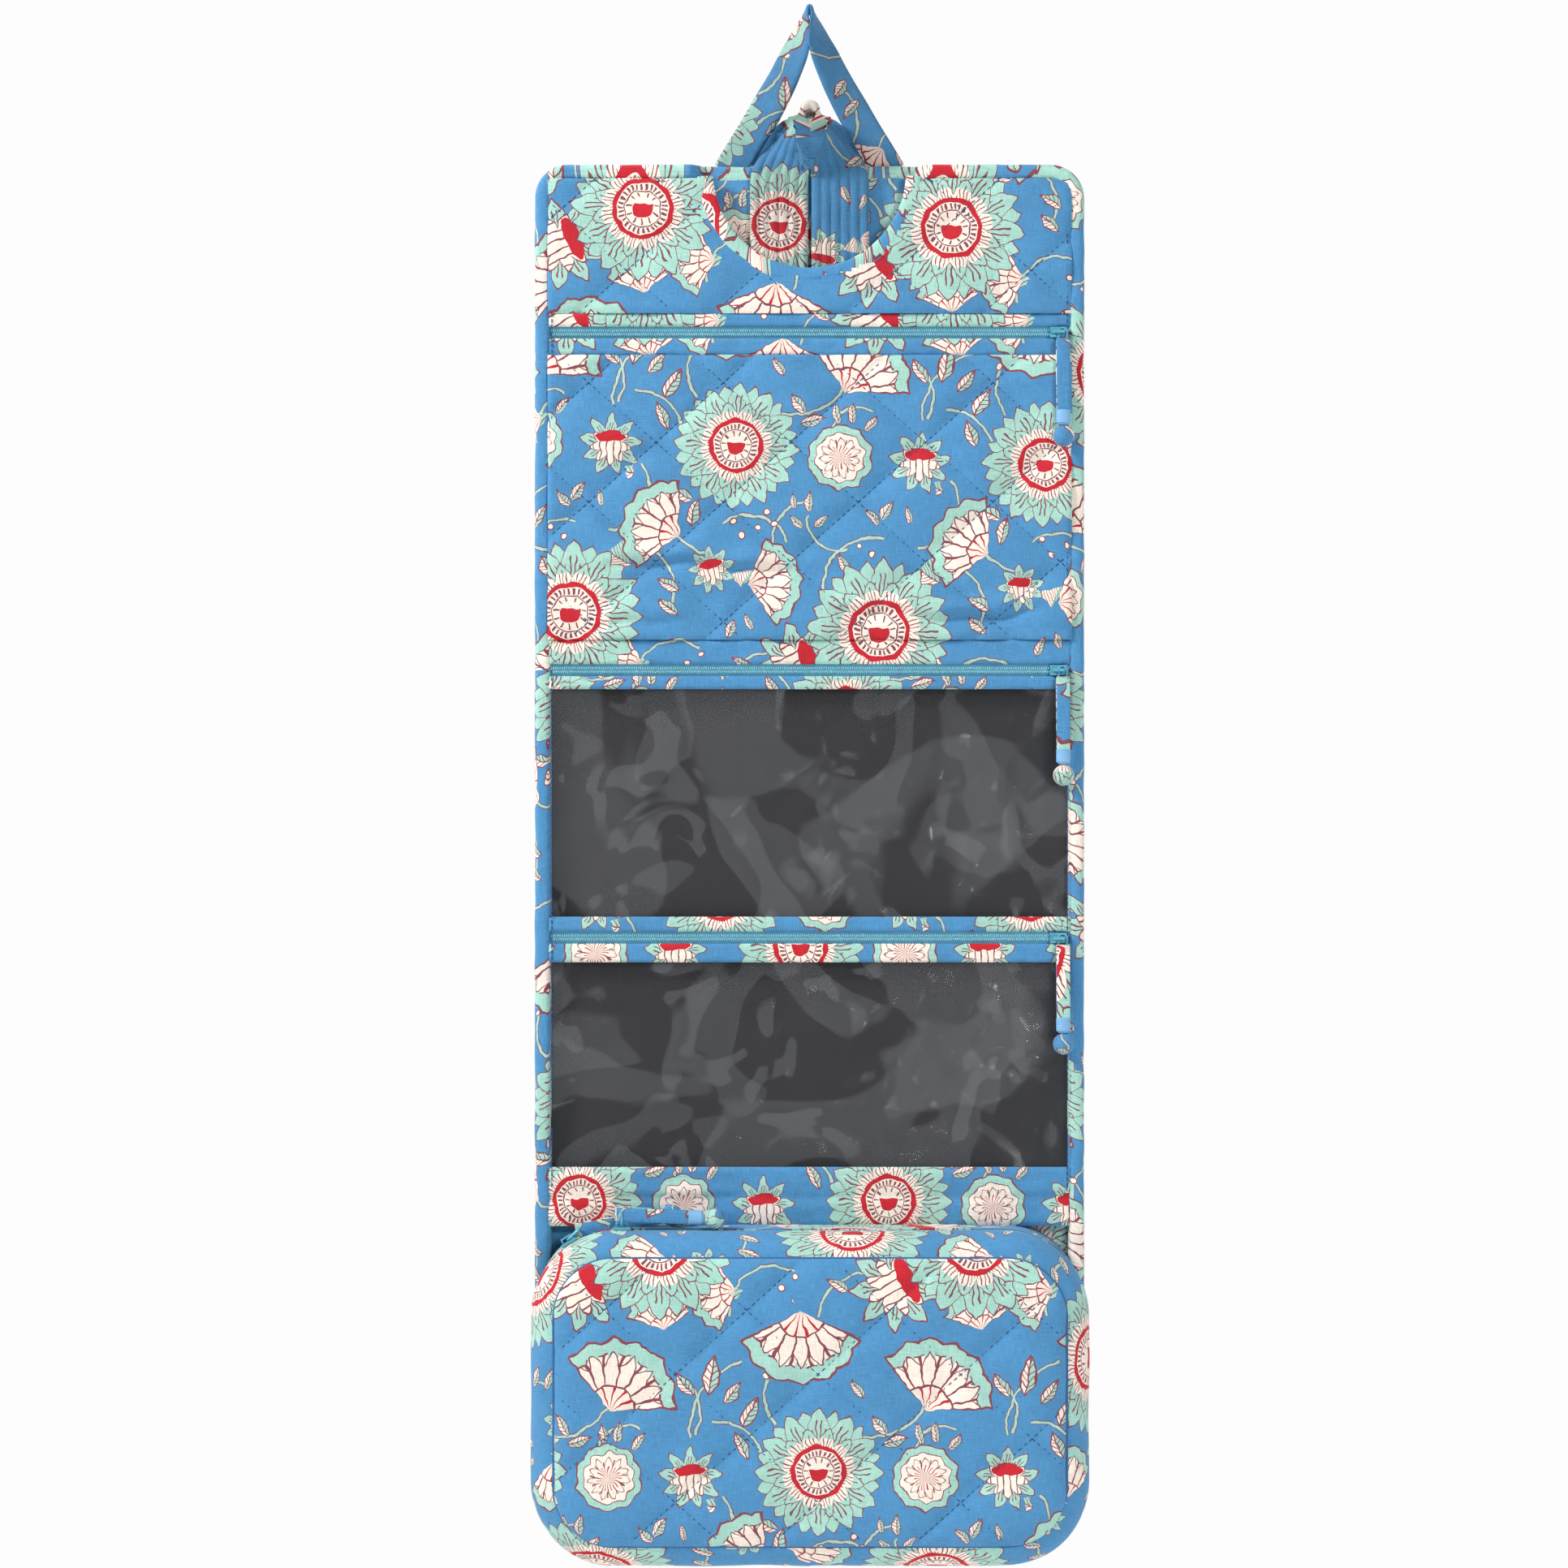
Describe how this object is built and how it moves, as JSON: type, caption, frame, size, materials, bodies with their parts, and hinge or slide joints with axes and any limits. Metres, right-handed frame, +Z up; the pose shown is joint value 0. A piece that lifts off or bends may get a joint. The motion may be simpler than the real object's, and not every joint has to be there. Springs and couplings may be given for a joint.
{
  "type": "hanging toiletry bag",
  "caption": "Folding fabric toiletry bag that hangs from a strap loop, with a slip pocket, clear zip pockets and a boxed zip pouch.",
  "frame": {"origin": "the point inside the hanging loop's apex that bears on the hook", "axes": "+X to the right of a person facing the bag, -Y out of the bag's front, +Z up along the hanging bag"},
  "size_m": [0.29, 0.054, 0.826],
  "materials": {
    "printed_cotton": "block-printed quilted cotton",
    "black_lining": "smooth dark nylon lining",
    "clear_vinyl": "clear flexible vinyl sheet",
    "zip_tape": "woven teal zip tape",
    "zip_coil": "teal nylon coil",
    "slider_enamel": "teal enamelled zinc",
    "bead_cloth": "printed cotton over a bead"
  },
  "bodies": {
    "hanging_loop": {"hanging_loop": "printed_cotton"},
    "carry_handle": {"carry_handle": "printed_cotton"},
    "top_section": {"loop_ends": "printed_cotton", "back_shell_top": "printed_cotton", "edge_binding_top": "printed_cotton", "inner_panel_top": "printed_cotton", "slip_pocket_front": "printed_cotton", "cutout_binding": "printed_cotton", "handle_base": "printed_cotton", "zip_band_1_upper": "printed_cotton", "zip_band_1_lower": "printed_cotton", "quilted_pocket_front": "printed_cotton", "pocket_foot_top": "printed_cotton", "zip_1_tapes": "zip_tape", "zip_1_coil": "zip_coil"},
    "middle_section": {"back_shell_middle": "printed_cotton", "lining_middle": "black_lining", "edge_binding_middle": "printed_cotton", "zip_band_2_upper": "printed_cotton", "zip_band_2_lower": "printed_cotton", "clear_window_1": "clear_vinyl", "zip_band_3_upper": "printed_cotton", "zip_band_3_lower": "printed_cotton", "clear_window_2": "clear_vinyl", "zip_2_tapes": "zip_tape", "zip_2_coil": "zip_coil", "zip_3_tapes": "zip_tape", "zip_3_coil": "zip_coil"},
    "spine_section": {"back_shell_spine": "printed_cotton", "lining_spine": "black_lining", "edge_binding_spine": "printed_cotton", "clear_window_2_foot": "clear_vinyl", "printed_strip": "printed_cotton"},
    "pouch_section": {"pouch_back_panel": "printed_cotton", "pouch_gusset_lower": "printed_cotton", "pouch_gusset_back": "printed_cotton", "pouch_gusset_front": "printed_cotton", "pouch_front_panel": "printed_cotton", "pouch_zip_coil": "zip_coil", "pouch_zip_tapes": "zip_tape"},
    "slider_1": {"slider_1": "slider_enamel"},
    "pull_1": {"pull_1_ring": "slider_enamel", "pull_1_tab": "printed_cotton", "pull_1_bead": "bead_cloth"},
    "slider_2": {"slider_2": "slider_enamel"},
    "pull_2": {"pull_2_ring": "slider_enamel", "pull_2_tab": "printed_cotton", "pull_2_bead": "bead_cloth"},
    "slider_3": {"slider_3": "slider_enamel"},
    "pull_3": {"pull_3_ring": "slider_enamel", "pull_3_tab": "printed_cotton", "pull_3_bead": "bead_cloth"},
    "slider_4": {"slider_4": "slider_enamel"},
    "pull_4": {"pull_4_ring": "slider_enamel", "pull_4_tab": "printed_cotton", "pull_4_bead": "bead_cloth"},
    "slider_5": {"slider_5": "slider_enamel"},
    "pull_5": {"pull_5_ring": "slider_enamel", "pull_5_tab": "printed_cotton", "pull_5_bead": "bead_cloth"}
  },
  "joints": [
    {"name": "bag_swing", "type": "hinge", "parent": "hanging_loop", "child": "top_section", "pos_m": [0, 0, -0.082], "axis": [1, 0, 0], "range_deg": [-12, 0]},
    {"name": "handle_lean", "type": "hinge", "parent": "top_section", "child": "carry_handle", "pos_m": [0, -0.0098, -0.124], "axis": [1, 0, 0], "range_deg": [0, 90]},
    {"name": "middle_fold", "type": "hinge", "parent": "top_section", "child": "middle_section", "pos_m": [0, 0.0004, -0.343], "axis": [1, 0, 0], "range_deg": [0, 178]},
    {"name": "spine_fold", "type": "hinge", "parent": "middle_section", "child": "spine_section", "pos_m": [0, -0.0133, -0.586], "axis": [-1, 0, 0], "range_deg": [0, 88]},
    {"name": "pouch_fold", "type": "hinge", "parent": "spine_section", "child": "pouch_section", "pos_m": [0, -0.0133, -0.632], "axis": [-1, 0, 0], "range_deg": [0, 88]},
    {"name": "zip_1_slide", "type": "slide", "parent": "top_section", "child": "slider_1", "axis": [1, 0, 0], "range_m": [-0.262, 0]},
    {"name": "pull_1_swing", "type": "hinge", "parent": "slider_1", "child": "pull_1", "pos_m": [0.1331, -0.0144, -0.174], "axis": [0, 1, 0], "range_deg": [-35, 35]},
    {"name": "zip_2_slide", "type": "slide", "parent": "middle_section", "child": "slider_2", "axis": [1, 0, 0], "range_m": [-0.262, 0]},
    {"name": "pull_2_swing", "type": "hinge", "parent": "slider_2", "child": "pull_2", "pos_m": [0.1331, -0.0144, -0.352], "axis": [0, 1, 0], "range_deg": [-35, 35]},
    {"name": "zip_3_slide", "type": "slide", "parent": "middle_section", "child": "slider_3", "axis": [1, 0, 0], "range_m": [-0.262, 0]},
    {"name": "pull_3_swing", "type": "hinge", "parent": "slider_3", "child": "pull_3", "pos_m": [0.1331, -0.0144, -0.493], "axis": [0, 1, 0], "range_deg": [-35, 35]},
    {"name": "pouch_zip_slide", "type": "slide", "parent": "pouch_section", "child": "slider_4", "axis": [1, 0, 0], "range_m": [0, 0.19]},
    {"name": "pull_4_lift", "type": "hinge", "parent": "slider_4", "child": "pull_4", "pos_m": [-0.098, -0.03, -0.64185], "axis": [0, 1, 0], "range_deg": [-50, 0]},
    {"name": "pouch_corner_slide", "type": "hinge", "parent": "pouch_section", "child": "slider_5", "pos_m": [-0.101, -0.03, -0.6882], "axis": [0, 1, 0], "range_deg": [-50, 0]},
    {"name": "pull_5_lift", "type": "hinge", "parent": "slider_5", "child": "pull_5", "pos_m": [-0.12624, -0.03, -0.64933], "axis": [0, 1, 0], "range_deg": [-30, 0]}
  ],
  "couplings": [
    {"joint": "pouch_fold", "follows": "spine_fold", "ratio": 1}
  ]
}
